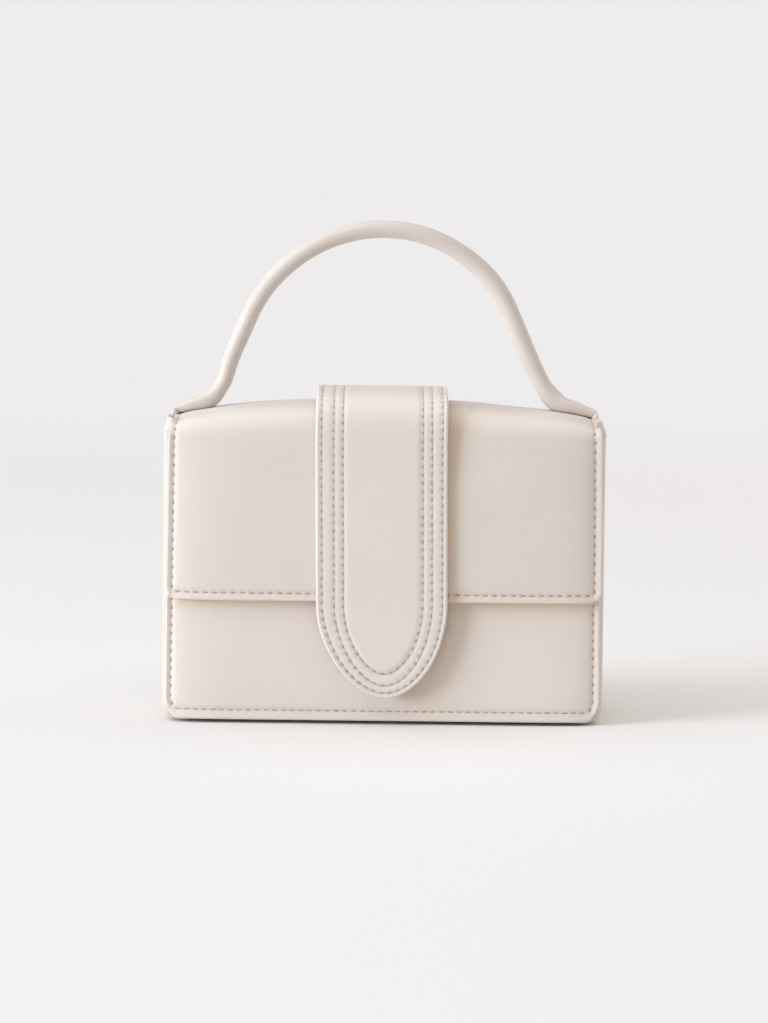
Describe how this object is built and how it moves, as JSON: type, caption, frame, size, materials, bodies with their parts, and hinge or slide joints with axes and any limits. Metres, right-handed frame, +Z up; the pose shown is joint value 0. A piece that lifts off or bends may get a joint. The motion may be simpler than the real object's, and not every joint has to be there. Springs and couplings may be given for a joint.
{
  "type": "mini handbag",
  "caption": "Boxy mini handbag in padded cream leather with a full front flap, a ribbed closing tab with a rounded end and a rolled top handle.",
  "frame": {"origin": "middle of the box around the bag, on the surface that it stands on", "axes": "+Z up, the front with the closing tab faces -Y, +X to the viewer's right"},
  "size_m": [0.1826, 0.0666, 0.2061],
  "materials": {
    "gusset_leather": "smooth cream leather, soft sheen",
    "panel_leather": "smooth cream leather over thin padding",
    "flap_leather": "smooth cream leather over thin padding",
    "tab_leather": "smooth cream leather, stitched ribs",
    "snap_metal": "plain nickel",
    "handle_leather": "smooth cream leather rolled over a cord core"
  },
  "bodies": {
    "root": {"gusset": "gusset_leather", "front_panel": "panel_leather", "back_panel": "panel_leather", "flap": "flap_leather", "closure_tab": "tab_leather", "magnet_snap": "snap_metal", "handle": "handle_leather"}
  },
  "joints": []
}
